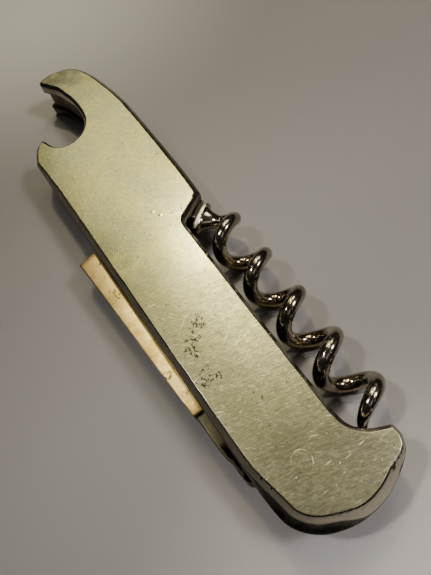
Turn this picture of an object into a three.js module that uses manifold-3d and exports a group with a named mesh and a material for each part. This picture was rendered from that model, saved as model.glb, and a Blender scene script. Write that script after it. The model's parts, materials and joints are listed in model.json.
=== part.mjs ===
// Folding lever corkscrew, lying on its side with the worm and the lever closed.
// Millimetres. +X runs from the claw to the heel, +Y towards the worm, +Z up from the lower plate.
import * as THREE from 'three';
import { mergeVertices } from 'three/addons/utils/BufferGeometryUtils.js';
import Module from 'manifold-3d';

const wasm = await Module();
wasm.setup();

// Driving dimensions
const BODY_THICKNESS = 9.2;
const PLATE_THICKNESS = 2.4;
const PLATE_BEVEL = 1.1;
const CLAW_BEVEL = 0.3;
const HEEL_BEVEL = 1.7;
const PLATE_BEVEL_HEIGHT = 1.2;
const HEEL_BEVEL_HEIGHT = 1.8;
const CLEARANCE = 0.3;
const RIVET_RADIUS = 1.2;
const PIN_RADIUS = 1.6;

const MID_HEIGHT = BODY_THICKNESS / 2;
const INNER_LOW = PLATE_THICKNESS + CLEARANCE;
const INNER_HIGH = BODY_THICKNESS - PLATE_THICKNESS - CLEARANCE;

// Pivots and rivets, in plan
const WORM_PIVOT = new THREE.Vector2(-4.9, 6.2);
const LEVER_PIVOT = new THREE.Vector2(46.5, -3.4);
const HEEL_RIVET = new THREE.Vector2(51.6, 2.2);
const CLAW_RIVETS = [new THREE.Vector2(-39.5, 6.2), new THREE.Vector2(-28.6, -7.0)];
const SPINE_RIVETS = [new THREE.Vector2(7.5, 2.2), new THREE.Vector2(34.0, 2.1)];
const HEEL_SLEEVE_RADIUS = 2.2;

// Worm
const WIRE_RADIUS = 1.31;
const COIL_RADIUS = 3.08;
const COIL_PITCH = 10;
const COIL_TIGHTENING = 0.317;
const COIL_LENGTH = 45;
const COIL_PHASE = 1.212;
const COIL_ORIGIN = new THREE.Vector2(7.3, 10.8);
const COIL_SLOPE = -0.0246;
const COIL_LEAD_IN = [-7.4, -1.9];
const COIL_END = 38.2;
const POINT_LENGTH = 6.4;
const POINT_OVERLAP = 0.5;
const POINT_BASE_RADIUS = 1.27;
const POINT_TIP_RADIUS = 0.3;
const POINT_BEND = 0.35;
const WORM_KNUCKLE_RADIUS = 3.3;
const WORM_KNUCKLE_ARC = [0.42 * Math.PI, -0.16 * Math.PI];

// Lever
const LEVER_KNUCKLE_RADIUS = 4.2;
const LEVER_KNUCKLE_ARC = [-0.62 * Math.PI, 0.72 * Math.PI];
const LEVER_WALL = 1.1;
const NECK_DROP = 0.9;

// Facets: round a shank, along a piece's curves, along a plate's curves, along the coil, round the wire
const ROUND_SEGMENTS = 28;
const EDGE_CURVE_SEGMENTS = 6;
const PLATE_CURVE_SEGMENTS = 3;
const COIL_STEPS = 110;
const WIRE_CURVE_SEGMENTS = 5;
const POINT_SEGMENTS = 12;

const STEEL = { color: 0xa39c86, metalness: 0.9, roughness: 0.38 };
const BRIGHT_STEEL = { color: 0xc9c0a2, metalness: 0.9, roughness: 0.32 };
const SPRING_STEEL = { color: 0x4d4a45, metalness: 0.9, roughness: 0.45 };
const DARK_STEEL = { color: 0x2b2620, metalness: 1.0, roughness: 0.18 };

function points(...pairs) {
  return pairs.map(([x, y]) => new THREE.Vector2(x, y));
}

// Solids and booleans

function toSolid(geometry) {
  const bare = geometry.clone();
  bare.deleteAttribute('normal');
  bare.deleteAttribute('uv');
  const merged = mergeVertices(bare, 1e-4);
  return new wasm.Manifold(new wasm.Mesh({
    numProp: 3,
    vertProperties: new Float32Array(merged.attributes.position.array),
    triVerts: new Uint32Array(merged.index.array),
  }));
}

function toGeometry(solid) {
  const mesh = solid.getMesh();
  const geometry = new THREE.BufferGeometry();
  geometry.setAttribute('position', new THREE.BufferAttribute(mesh.vertProperties, 3));
  geometry.setIndex(new THREE.BufferAttribute(mesh.triVerts, 1));
  return geometry;
}

function slab(shape, low, high) {
  const geometry = new THREE.ExtrudeGeometry(shape, {
    depth: high - low, bevelEnabled: false, curveSegments: EDGE_CURVE_SEGMENTS,
  });
  geometry.translate(0, 0, low);
  return toSolid(geometry);
}

// A closed prism through rings of equal point count, each a list of Vector3, from one end to the other.
function loft(rings) {
  const count = rings[0].length;
  const last = (rings.length - 1) * count;
  const index = [];
  for (let ring = 0; ring < rings.length - 1; ring += 1) {
    for (let i = 0; i < count; i += 1) {
      const a = ring * count + i;
      const b = ring * count + ((i + 1) % count);
      index.push(a, b, b + count, a, b + count, a + count);
    }
  }
  for (const [a, b, c] of THREE.ShapeUtils.triangulateShape(rings[0], [])) {
    index.push(a, c, b);
  }
  for (const [a, b, c] of THREE.ShapeUtils.triangulateShape(rings.at(-1), [])) {
    index.push(last + a, last + b, last + c);
  }
  const geometry = new THREE.BufferGeometry();
  geometry.setAttribute('position', new THREE.Float32BufferAttribute(
    rings.flat().flatMap((point) => point.toArray()), 3,
  ));
  geometry.setIndex(index);
  return toSolid(geometry);
}

// The loop moved inwards by widthAt(point), square to the edges on both sides of each point.
function insetLoop(loop, widthAt) {
  return loop.map((point, i) => {
    const before = loop.at(i - 1);
    const after = loop[(i + 1) % loop.length];
    const edgeIn = new THREE.Vector2().subVectors(point, before).normalize();
    const edgeOut = new THREE.Vector2().subVectors(after, point).normalize();
    const normal = new THREE.Vector2(-edgeIn.y - edgeOut.y, edgeIn.x + edgeOut.x).normalize();
    const miter = Math.max(0.6, normal.x * -edgeIn.y + normal.y * edgeIn.x);
    return point.clone().addScaledVector(normal, widthAt(point) / miter);
  });
}

function atHeight(loop, z) {
  return loop.map((point) => new THREE.Vector3(point.x, point.y, z));
}

function upright(centre, radius, low, high) {
  const geometry = new THREE.CylinderGeometry(radius, radius, high - low, ROUND_SEGMENTS);
  geometry.rotateX(Math.PI / 2);
  geometry.translate(centre.x, centre.y, (low + high) / 2);
  return geometry;
}

// A clearance hole for a shank, right through the body
function bore(centre, shankRadius) {
  const low = -PLATE_THICKNESS;
  return toSolid(upright(centre, shankRadius + CLEARANCE, low, BODY_THICKNESS - low));
}

function named(name, geometry, finish) {
  const flat = geometry.index ? geometry.toNonIndexed() : geometry;
  flat.computeVertexNormals();
  const mesh = new THREE.Mesh(flat, new THREE.MeshStandardMaterial(finish));
  mesh.name = name;
  return mesh;
}

// Body: two side plates of one outline, with the claw at -X, the worm's bay and the heel's hook

function bodyOutline() {
  const shape = new THREE.Shape();
  shape.moveTo(-1.3, 11.4);
  shape.splineThru(points([-16.6, 12.35], [-32.8, 12.8], [-44.5, 12.0]));
  shape.splineThru(points([-50.2, 10.8], [-55.1, 7.8], [-56.7, 3.3], [-56.0, -0.5]));
  shape.splineThru(points(
    [-49.7, 2.0], [-42.7, 3.1], [-36.2, 2.6], [-32.5, 0.0], [-31.5, -3.4], [-33.1, -6.1], [-37.0, -7.4],
  ));
  shape.splineThru(points([-35.2, -9.8], [-31.2, -11.6]));
  shape.lineTo(46.9, -10.4);
  shape.splineThru(points(
    [51.5, -9.65], [54.65, -6.8], [56.25, -2.3], [56.2, 2.3], [54.9, 6.1], [53.0, 8.8], [51.3, 9.7],
  ));
  shape.lineTo(49.7, 9.6);
  shape.lineTo(49.2, 8.3);
  shape.splineThru(points([48.2, 6.4], [46.4, 4.9], [43.8, 4.4]));
  shape.lineTo(4.2, 5.2);
  shape.quadraticCurveTo(2.2, 5.2, 1.7, 6.0);
  shape.closePath();
  return shape;
}

function shankHoles() {
  const rivets = [...CLAW_RIVETS, ...SPINE_RIVETS, HEEL_RIVET];
  const pins = [WORM_PIVOT, LEVER_PIVOT];
  return [
    ...rivets.map((centre) => bore(centre, RIVET_RADIUS)),
    ...pins.map((centre) => bore(centre, PIN_RADIUS)),
  ];
}

// How far a point is round the heel, from 0 on the straight back to 1 on the heel's end
function heelShare(point) {
  const pastBack = THREE.MathUtils.smoothstep(point.x, 42, 50);
  return pastBack * THREE.MathUtils.smoothstep(-point.y, -9.4, -6);
}

// The bevel is broad along the back, broadest round the heel and narrow at the claw, the hook and the bay.
function bevelAt(point) {
  const pastClaw = THREE.MathUtils.smoothstep(point.x, -30, -20);
  const awayFromBay = THREE.MathUtils.smoothstep(-point.y, -6, 2);
  const side = THREE.MathUtils.lerp(CLAW_BEVEL, PLATE_BEVEL, pastClaw * awayFromBay);
  return THREE.MathUtils.lerp(side, HEEL_BEVEL, heelShare(point));
}

// The foot of the bevel round the loop, above the lower plate's face or below the upper plate's
function bevelFoot(loop, isUpper) {
  return loop.map((point) => {
    const height = THREE.MathUtils.lerp(PLATE_BEVEL_HEIGHT, HEEL_BEVEL_HEIGHT, heelShare(point));
    return new THREE.Vector3(point.x, point.y, isUpper ? BODY_THICKNESS - height : height);
  });
}

// Only the plate's outer face is bevelled.
function plate(isUpper) {
  const loop = bodyOutline().getPoints(PLATE_CURVE_SEGMENTS).slice(0, -1);
  const face = insetLoop(loop, bevelAt);
  const foot = bevelFoot(loop, isUpper);
  const rings = isUpper
    ? [atHeight(loop, BODY_THICKNESS - PLATE_THICKNESS), foot, atHeight(face, BODY_THICKNESS)]
    : [atHeight(face, 0), foot, atHeight(loop, PLATE_THICKNESS)];
  return shankHoles().reduce((solid, hole) => solid.subtract(hole), loft(rings));
}

// Pieces between the plates

function filler(shape, holes) {
  const cutters = holes.map((centre) => bore(centre, RIVET_RADIUS));
  return cutters.reduce((solid, hole) => solid.subtract(hole), slab(shape, INNER_LOW, INNER_HIGH));
}

function clawSpacer() {
  const shape = new THREE.Shape();
  shape.moveTo(-25.6, 11.2);
  shape.lineTo(-38.7, 11.4);
  shape.splineThru(points([-48.9, 10.0], [-53.9, 7.0], [-55.6, 3.0], [-55.2, 0.5]));
  shape.splineThru(points(
    [-49.9, 2.5], [-42.7, 3.6], [-36.0, 3.1], [-32.1, 0.3], [-31.0, -3.4], [-32.7, -6.5], [-35.9, -7.9],
  ));
  shape.lineTo(-33.8, -9.4);
  shape.lineTo(-30.9, -10.6);
  shape.lineTo(-25.6, -10.6);
  shape.closePath();
  return filler(shape, CLAW_RIVETS);
}

function spineBar() {
  const shape = new THREE.Shape(points([4.6, 0.2], [36.0, 0.2], [41.2, 1.3], [41.2, 3.7], [4.6, 4.4]));
  return filler(shape, SPINE_RIVETS);
}

function heelSleeve() {
  const tube = toSolid(upright(HEEL_RIVET, HEEL_SLEEVE_RADIUS, INNER_LOW, INNER_HIGH));
  return tube.subtract(bore(HEEL_RIVET, RIVET_RADIUS));
}

function leafSpring(outline) {
  const shape = new THREE.Shape();
  shape.moveTo(...outline[0]);
  shape.splineThru(points(...outline.slice(1, 4)));
  shape.lineTo(...outline[4]);
  shape.splineThru(points(...outline.slice(5)));
  shape.closePath();
  return slab(shape, INNER_LOW, INNER_HIGH);
}

function wormSpring() {
  return leafSpring([
    [-25.2, 3.2], [-20.0, 3.6], [-14.5, 4.4], [-8.6, 5.6],
    [-8.7, 4.2], [-14.5, 2.7], [-20.0, 1.6], [-25.2, 0.9],
  ]);
}

function leverSpring() {
  return leafSpring([
    [14.0, -0.1], [26.0, -0.1], [36.5, -0.1], [45.4, 2.2],
    [45.5, 1.2], [41.6, -0.2], [36.5, -1.3], [14.0, -1.5],
  ]);
}

// Worm: a flat tang that turns on its pin, a shoulder against the notch, and a right-handed helix

class WormPath extends THREE.Curve {
  constructor(from, to) {
    super();
    this.from = from;
    this.to = to;
  }

  getPoint(t, target = new THREE.Vector3()) {
    const s = THREE.MathUtils.lerp(this.from, this.to, t);
    const turns = s / COIL_PITCH + COIL_TIGHTENING * (s / COIL_LENGTH) ** 2;
    const phase = 2 * Math.PI * turns + COIL_PHASE;
    const radius = COIL_RADIUS * THREE.MathUtils.smoothstep(s, ...COIL_LEAD_IN);
    const along = COIL_ORIGIN.x + s - COIL_SLOPE * radius * Math.cos(phase);
    const across = COIL_ORIGIN.y + COIL_SLOPE * s + radius * Math.cos(phase);
    return target.set(along, across, MID_HEIGHT + radius * Math.sin(phase));
  }
}

function circleShape(radius) {
  const shape = new THREE.Shape();
  shape.absarc(0, 0, radius, 0, 2 * Math.PI);
  return shape;
}

function wormWire() {
  const path = new WormPath(COIL_LEAD_IN[0], COIL_END);
  const geometry = new THREE.ExtrudeGeometry(circleShape(WIRE_RADIUS), {
    extrudePath: path, steps: COIL_STEPS, curveSegments: WIRE_CURVE_SEGMENTS, bevelEnabled: false,
  });
  return toSolid(geometry);
}

// The point starts just inside the wire's end and leans in towards the coil's axis.
function wormPoint() {
  const path = new WormPath(COIL_LEAD_IN[0], COIL_END);
  const start = path.getPoint(1);
  const inward = new THREE.Vector3(start.x, COIL_ORIGIN.y + COIL_SLOPE * COIL_END, MID_HEIGHT)
    .sub(start).normalize();
  const direction = path.getTangent(1).addScaledVector(inward, POINT_BEND).normalize();
  const geometry = new THREE.CylinderGeometry(
    POINT_TIP_RADIUS, POINT_BASE_RADIUS, POINT_LENGTH, POINT_SEGMENTS,
  );
  geometry.translate(0, POINT_LENGTH / 2 - POINT_OVERLAP, 0);
  geometry.applyQuaternion(
    new THREE.Quaternion().setFromUnitVectors(new THREE.Vector3(0, 1, 0), direction),
  );
  geometry.translate(start.x, start.y, start.z);
  return toSolid(geometry);
}

function tangShape() {
  const shape = new THREE.Shape();
  shape.absarc(WORM_PIVOT.x, WORM_PIVOT.y, WORM_KNUCKLE_RADIUS, ...WORM_KNUCKLE_ARC);
  shape.lineTo(1.2, 6.9);
  shape.lineTo(1.9, 6.3);
  shape.quadraticCurveTo(2.4, 8.6, 4.0, 9.8);
  shape.lineTo(4.6, 12.2);
  shape.quadraticCurveTo(0.9, 11.2, -1.6, 12.6);
  shape.lineTo(-2.2, 11.8);
  shape.closePath();
  return shape;
}

function worm() {
  const tang = slab(tangShape(), INNER_LOW, INNER_HIGH);
  return tang.subtract(bore(WORM_PIVOT, PIN_RADIUS)).add(wormWire()).add(wormPoint());
}

// Lever: a folded channel for the bottle's rim, a lower neck, and a knuckle on its pin

function footShape() {
  const shape = new THREE.Shape();
  shape.moveTo(-5.3, -15.1);
  shape.lineTo(31.2, -12.45);
  shape.quadraticCurveTo(32.3, -12.3, 32.3, -11.4);
  shape.lineTo(31.6, -4.6);
  shape.lineTo(-6.0, -7.2);
  shape.lineTo(-2.4, -11.0);
  shape.lineTo(-5.9, -13.6);
  shape.closePath();
  return shape;
}

function neckShape() {
  const shape = new THREE.Shape();
  shape.moveTo(29.0, -12.5);
  shape.lineTo(32.1, -12.2);
  shape.splineThru(points([36.8, -12.0], [40.0, -11.7], [43.1, -11.25], [44.6, -11.1]));
  shape.lineTo(45.6, -10.2);
  shape.absarc(LEVER_PIVOT.x, LEVER_PIVOT.y, LEVER_KNUCKLE_RADIUS, ...LEVER_KNUCKLE_ARC);
  shape.lineTo(29.0, -5.2);
  shape.closePath();
  return shape;
}

// Rounded pockets let into the neck's top beside the plates, each a centre and a radius
const NECK_POCKETS = [[39.75, -10.5, 0.85], [41.35, -10.4, 0.72], [43.7, -10.35, 0.95]];
const POCKET_DEPTH = 1.5;

function neck() {
  const top = INNER_HIGH - NECK_DROP;
  return NECK_POCKETS.reduce((solid, [x, y, radius]) => {
    const pocket = upright(new THREE.Vector2(x, y), radius, top - POCKET_DEPTH, INNER_HIGH);
    return solid.subtract(toSolid(pocket));
  }, slab(neckShape(), INNER_LOW + NECK_DROP, top));
}

function lever() {
  const foot = slab(footShape(), INNER_LOW, INNER_HIGH);
  const hollow = new THREE.Shape(points([-8, -13.2], [30.2, -10.6], [30.4, -3.5], [-8, -4.0]));
  const channel = foot.subtract(slab(hollow, INNER_LOW + LEVER_WALL, INNER_HIGH - LEVER_WALL));
  const knuckle = toSolid(upright(LEVER_PIVOT, LEVER_KNUCKLE_RADIUS, INNER_LOW, INNER_HIGH));
  return channel.add(neck()).add(knuckle).subtract(bore(LEVER_PIVOT, PIN_RADIUS));
}

// Assembly

const corkscrew = new THREE.Group();

function addSolid(name, solid, finish) {
  corkscrew.add(named(name, toGeometry(solid), finish));
}

function addRivet(name, centre, radius) {
  corkscrew.add(named(name, upright(centre, radius, 0, BODY_THICKNESS), STEEL));
}

addSolid('upper_plate', plate(true), STEEL);
addSolid('lower_plate', plate(false), STEEL);
addSolid('claw_spacer', clawSpacer(), STEEL);
addSolid('spine_bar', spineBar(), STEEL);
addSolid('heel_sleeve', heelSleeve(), STEEL);
addSolid('worm_spring', wormSpring(), SPRING_STEEL);
addSolid('lever_spring', leverSpring(), SPRING_STEEL);
addSolid('worm', worm(), DARK_STEEL);
addSolid('lever', lever(), BRIGHT_STEEL);
addRivet('worm_pin', WORM_PIVOT, PIN_RADIUS);
addRivet('lever_pin', LEVER_PIVOT, PIN_RADIUS);
addRivet('claw_rivet_front', CLAW_RIVETS[0], RIVET_RADIUS);
addRivet('claw_rivet_rear', CLAW_RIVETS[1], RIVET_RADIUS);
addRivet('spine_rivet_front', SPINE_RIVETS[0], RIVET_RADIUS);
addRivet('spine_rivet_rear', SPINE_RIVETS[1], RIVET_RADIUS);
addRivet('heel_rivet', HEEL_RIVET, RIVET_RADIUS);

// The origin is under the middle of the whole object's box.
const centre = new THREE.Box3().setFromObject(corkscrew).getCenter(new THREE.Vector3());
for (const piece of corkscrew.children) {
  piece.position.set(-centre.x, -centre.y, 0);
}

export default corkscrew;
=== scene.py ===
# A folding lever corkscrew: worn nickelled plates, a dark glossy worm and a folded steel lever.
# Sizes are in millimetres until they go into a mesh, in the frame of the CAD model.
import json
import math
from collections import namedtuple

import bmesh
import bpy
import numpy as np
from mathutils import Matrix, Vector, geometry, noise

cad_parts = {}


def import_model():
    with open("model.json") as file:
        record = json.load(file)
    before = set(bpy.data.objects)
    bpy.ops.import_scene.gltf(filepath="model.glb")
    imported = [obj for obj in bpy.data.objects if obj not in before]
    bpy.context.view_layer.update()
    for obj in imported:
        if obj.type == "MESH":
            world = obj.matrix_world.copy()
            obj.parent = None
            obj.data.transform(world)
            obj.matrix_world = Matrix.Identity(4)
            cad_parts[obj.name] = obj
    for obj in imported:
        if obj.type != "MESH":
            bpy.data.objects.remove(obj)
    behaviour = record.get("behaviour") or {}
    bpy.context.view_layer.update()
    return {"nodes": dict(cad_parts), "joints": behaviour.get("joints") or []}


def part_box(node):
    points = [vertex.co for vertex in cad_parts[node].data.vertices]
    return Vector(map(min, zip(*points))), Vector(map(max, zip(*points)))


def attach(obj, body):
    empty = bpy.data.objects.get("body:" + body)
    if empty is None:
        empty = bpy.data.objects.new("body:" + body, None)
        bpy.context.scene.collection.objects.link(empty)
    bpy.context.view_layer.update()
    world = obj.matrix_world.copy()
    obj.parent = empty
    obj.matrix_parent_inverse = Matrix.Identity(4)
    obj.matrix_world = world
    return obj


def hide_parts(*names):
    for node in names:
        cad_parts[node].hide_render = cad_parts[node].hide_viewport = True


MM = 0.001
UP = Vector((0, 0, 1))
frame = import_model()
joints = {joint["name"]: joint for joint in frame["joints"]}

# Sizes and pivots read from the frame
BODY_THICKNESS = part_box("upper_plate")[1].z / MM
PLATE_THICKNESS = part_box("lower_plate")[1].z / MM
MID = BODY_THICKNESS / 2
INNER_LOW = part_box("lever")[0].z / MM
INNER_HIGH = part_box("lever")[1].z / MM
WORM_PIVOT = Vector(joints["worm_fold"]["pos_m"]) / MM
LEVER_PIVOT = Vector(joints["lever_fold"]["pos_m"]) / MM

# The outlines are drawn around these pivots, and SHIFT takes them from the drawing to the frame
DRAWN_WORM_PIVOT = Vector((-4.9, 6.2, 0))
DRAWN_LEVER_PIVOT = Vector((46.5, -3.4, 0))
SHIFT = Vector((WORM_PIVOT.x, WORM_PIVOT.y, 0)) - DRAWN_WORM_PIVOT

# The worm's flared root: the middle of its flat back, the way it faces and the way its long side runs
ROOT_BACK = Vector((0.85, 8.95, MID))
ROOT_FACING = Vector((0.83, 0.56, 0))
ROOT_ACROSS = Vector((-0.56, 0.83, 0))

# The lever: where its channel gives way to the neck, and how far the neck's faces lie inside the channel's
FOOT_END = 32.4
NECK_DROP = 0.9
NECK_TOP = INNER_HIGH - NECK_DROP


# Curves and loops

def catmull(points, steps):
    """A smooth open curve through the points, as a list of points."""
    count = len(points)
    curve = []
    for i in range(count - 1):
        p0 = points[max(i - 1, 0)]
        p1, p2 = points[i], points[i + 1]
        p3 = points[min(i + 2, count - 1)]
        for k in range(steps):
            t = k / steps
            a = 0.5 * (p2 - p0)
            b = 0.5 * (p3 - p1)
            curve.append(
                (2 * p1 - 2 * p2 + a + b) * t ** 3
                + (-3 * p1 + 3 * p2 - 2 * a - b) * t ** 2 + a * t + p1)
    curve.append(points[-1])
    return curve


def plan(*pairs):
    return [Vector((x, y, 0)) for x, y in pairs]


def arc(centre, radius, start, turn, steps):
    """Points on the plan along an arc, from start through turn degrees."""
    angles = (math.radians(start + turn * k / steps) for k in range(steps + 1))
    return [centre + radius * Vector((math.cos(a), math.sin(a), 0)) for a in angles]


def around(sides):
    """The cosine and the sine of each of this many angles around a circle."""
    return [(math.cos(a), math.sin(a)) for a in (2 * math.pi * i / sides for i in range(sides))]


def circle(centre, radius, sides):
    return [centre + radius * Vector((c, s, 0)) for c, s in around(sides)]


def resampled(loop, spacing):
    """The closed loop with points no further apart than spacing, keeping every corner."""
    shortest = 1e-6
    result = []
    for i, here in enumerate(loop):
        there = loop[(i + 1) % len(loop)]
        length = (there - here).length
        if length < shortest:
            continue
        parts = max(1, round(length / spacing))
        result.extend(here.lerp(there, k / parts) for k in range(parts))
    return result


def softened(loop, passes):
    """The loop with its corners relaxed a little."""
    for _ in range(passes):
        loop = [0.25 * loop[i - 1] + 0.5 * p + 0.25 * loop[(i + 1) % len(loop)] for i, p in enumerate(loop)]
    return loop


# A sharp corner's points are moved as if it were no sharper than this
LEAST_MITER = 0.75


def inset(loop, width_at):
    """The counter-clockwise loop moved inwards by width_at(point)."""
    result = []
    for i, point in enumerate(loop):
        before = (point - loop[i - 1]).normalized()
        after = (loop[(i + 1) % len(loop)] - point).normalized()
        normal = Vector((-before.y - after.y, before.x + after.x, 0)).normalized()
        miter = max(LEAST_MITER, normal.x * -before.y + normal.y * before.x)
        result.append(point + normal * (width_at(point) / miter))
    return result


def smoothstep(value, start, whole):
    """0 at start and 1 at whole, smooth between; start may be the higher of the two."""
    t = min(max((value - start) / (whole - start), 0.0), 1.0)
    return t * t * (3 - 2 * t)


# Meshes

def mesh_object(name, vertices, faces):
    mesh = bpy.data.meshes.new(name)
    mesh.from_pydata([v * MM for v in vertices], [], faces)
    mesh.validate()
    work = bmesh.new()
    work.from_mesh(mesh)
    bmesh.ops.remove_doubles(work, verts=work.verts, dist=1e-7)
    bmesh.ops.recalc_face_normals(work, faces=work.faces)
    work.to_mesh(mesh)
    work.free()
    for polygon in mesh.polygons:
        polygon.use_smooth = True
    item = bpy.data.objects.new(name, mesh)
    bpy.context.scene.collection.objects.link(item)
    return item


def bands(base, rings, count):
    """The four-sided faces between rings of count vertices each, the first of which starts at base."""
    faces = []
    for ring in range(rings - 1):
        a = base + ring * count
        for i in range(count):
            j = (i + 1) % count
            faces.append((a + i, a + j, a + count + j, a + count + i))
    return faces


def lofted(name, rings):
    """A surface through rings of equal point count, closed at both ends by flat faces."""
    count = len(rings[0])
    vertices = [point for ring in rings for point in ring]
    faces = bands(0, len(rings), count)
    faces.append(tuple(reversed(range(count))))
    last = (len(rings) - 1) * count
    faces.append(tuple(range(last, last + count)))
    return mesh_object(name, vertices, faces)


def at_height(loop, z):
    return [Vector((p.x, p.y, z)) for p in loop]


SLAB_STEPS = 3
# The flat face starts a little inside its rounded edge, by this many radii
FLAT_FROM = 1.25


def slab(name, loop, low, high, radius):
    """An extruded loop with rounded edges."""
    edge = []
    for k in range(SLAB_STEPS + 1):
        angle = 0.5 * math.pi * k / SLAB_STEPS
        edge.append((radius * (1 - math.sin(angle)), low + radius * (1 - math.cos(angle))))
    profile = [(radius * FLAT_FROM, low)] + edge + [(gap, low + high - z) for gap, z in reversed(edge)]
    profile.append((radius * FLAT_FROM, high))
    return lofted(name, [at_height(inset(loop, lambda p: gap), z) for gap, z in profile])


def joined(name, *items):
    """The items' meshes as one object."""
    work = bmesh.new()
    for item in items:
        work.from_mesh(item.data)
        bpy.data.objects.remove(item)
    mesh = bpy.data.meshes.new(name)
    work.to_mesh(mesh)
    work.free()
    item = bpy.data.objects.new(name, mesh)
    bpy.context.scene.collection.objects.link(item)
    return item


# Node helpers

class Nodes:
    """A material's node tree, with short calls for the nodes used here."""

    def __init__(self, name):
        self.material = bpy.data.materials.new(name)
        self.material.use_nodes = True
        self.tree = self.material.node_tree
        self.shader = self.tree.nodes["Principled BSDF"]
        coordinates = self.add("ShaderNodeTexCoord")
        self.place = coordinates.outputs["Object"]
        self.normal = coordinates.outputs["Normal"]

    def add(self, kind, **settings):
        node = self.tree.nodes.new(kind)
        for key, value in settings.items():
            setattr(node, key, value)
        return node

    def link(self, source, target):
        self.tree.links.new(source, target)

    def feed(self, socket, value):
        if isinstance(value, bpy.types.NodeSocket):
            self.link(value, socket)
        else:
            socket.default_value = value

    def shade(self, **inputs):
        for key, value in inputs.items():
            self.feed(self.shader.inputs[key.replace("_", " ")], value)

    # Textures

    def stretched(self, angle, length, width):
        """Object coordinates in which a texture is length by width millimetres, its length at this angle."""
        node = self.add("ShaderNodeMapping", vector_type="TEXTURE")
        self.link(self.place, node.inputs["Vector"])
        node.inputs["Rotation"].default_value = (0, 0, math.radians(angle))
        node.inputs["Scale"].default_value = (length * MM, width * MM, MM)
        return node.outputs["Vector"]

    def scaled_noise(self, source, scale, detail, rough):
        node = self.add("ShaderNodeTexNoise")
        self.link(source, node.inputs["Vector"])
        node.inputs["Scale"].default_value = scale
        node.inputs["Detail"].default_value = detail
        node.inputs["Roughness"].default_value = rough
        return node.outputs["Fac"]

    def noise(self, size, detail=4, rough=0.6):
        """Noise with features of about size millimetres."""
        return self.scaled_noise(self.place, 1 / (size * MM), detail, rough)

    def brushed(self, angle, length, width, detail=4):
        """Rough noise drawn out at this angle, like the marks of brushing."""
        return self.scaled_noise(self.stretched(angle, length, width), 1.0, detail, 0.7)

    def streaks(self, angle, length, width, share, core=0.30):
        """Separate short scratches in cells of length by width millimetres: 1 in a scratch, 0 between."""
        cell = self.add("ShaderNodeTexVoronoi")
        self.link(self.stretched(angle, length, width), cell.inputs["Vector"])
        cell.inputs["Scale"].default_value = 1.0
        shade = self.add("ShaderNodeSeparateColor")
        self.link(cell.outputs["Color"], shade.inputs["Color"])
        chosen = self.math("LESS_THAN", shade.outputs["Red"], share)
        return self.times(chosen, self.step(cell.outputs["Distance"], core, core * 0.4))

    def scratches(self, layers):
        return self.most(*(self.streaks(*layer) for layer in layers))

    def near(self, x, y, radius, fade):
        """1 within radius millimetres of a place on the plan, fading to 0."""
        node = self.add("ShaderNodeMapping")
        self.link(self.place, node.inputs["Vector"])
        node.inputs["Location"].default_value = (-x * MM, -y * MM, 0)
        node.inputs["Scale"].default_value = (1, 1, 0)
        length = self.add("ShaderNodeVectorMath", operation="LENGTH")
        self.link(node.outputs["Vector"], length.inputs[0])
        return self.step(length.outputs["Value"], (radius + fade) * MM, radius * MM)

    def spots(self, places):
        return self.most(*(self.near(*place) for place in places))

    # Values

    def part(self, vector, axis):
        node = self.add("ShaderNodeSeparateXYZ")
        self.link(vector, node.inputs["Vector"])
        return node.outputs[axis]

    def along(self, direction):
        """How far a place lies along a direction, in metres."""
        node = self.add("ShaderNodeVectorMath", operation="DOT_PRODUCT")
        self.link(self.place, node.inputs[0])
        node.inputs[1].default_value = direction
        return node.outputs["Value"]

    def math(self, operation, a, b=0.0):
        node = self.add("ShaderNodeMath", operation=operation)
        self.feed(node.inputs[0], a)
        self.feed(node.inputs[1], b)
        return node.outputs[0]

    def plus(self, a, b):
        return self.math("ADD", a, b)

    def minus(self, a, b):
        return self.math("SUBTRACT", a, b)

    def times(self, *values):
        result = values[0]
        for value in values[1:]:
            result = self.math("MULTIPLY", result, value)
        return result

    def most(self, *values):
        result = values[0]
        for value in values[1:]:
            result = self.math("MAXIMUM", result, value)
        return result

    def step(self, value, start, whole):
        """0 at start and 1 at whole, smooth between; start may be the higher of the two."""
        node = self.add("ShaderNodeMapRange", interpolation_type="SMOOTHSTEP")
        self.link(value, node.inputs["Value"])
        falls = whole < start
        node.inputs["From Min"].default_value = min(start, whole)
        node.inputs["From Max"].default_value = max(start, whole)
        node.inputs["To Min"].default_value = 1.0 if falls else 0.0
        node.inputs["To Max"].default_value = 0.0 if falls else 1.0
        return node.outputs["Result"]

    def zone(self, length, start, whole):
        """A step of a length, between two places in millimetres."""
        return self.step(length, start * MM, whole * MM)

    def ragged(self, length, texture, wander):
        """The length moved to and fro by a texture over wander millimetres, for an uneven edge."""
        return self.plus(length, self.times(self.minus(texture, 0.5), wander * MM))

    # Colours and relief

    def blend(self, factor, a, b):
        node = self.add("ShaderNodeMix", data_type="RGBA", blend_type="MIX")
        colours = [socket for socket in node.inputs if socket.type == "RGBA"]
        self.feed(node.inputs["Factor"], factor)
        for socket, value in zip(colours, (a, b)):
            self.feed(socket, value if isinstance(value, bpy.types.NodeSocket) else (*value, 1))
        return next(socket for socket in node.outputs if socket.type == "RGBA")

    def graded(self, texture, start, whole, colours):
        """The first colour where the texture is at start, the second where it is at whole."""
        return self.blend(self.step(texture, start, whole), *colours)

    def tinted(self, base, colour, *shares):
        """The base with as much of a colour as the product of the shares."""
        return self.blend(self.times(*shares), base, colour)

    def bump(self, height, strength, depth, under=None):
        """A bump of the height, depth millimetres deep, over another if there is one."""
        node = self.add("ShaderNodeBump")
        self.link(height, node.inputs["Height"])
        node.inputs["Strength"].default_value = strength
        node.inputs["Distance"].default_value = depth * MM
        if under is not None:
            self.link(under, node.inputs["Normal"])
        return node.outputs["Normal"]


# The plates' steel

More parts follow.
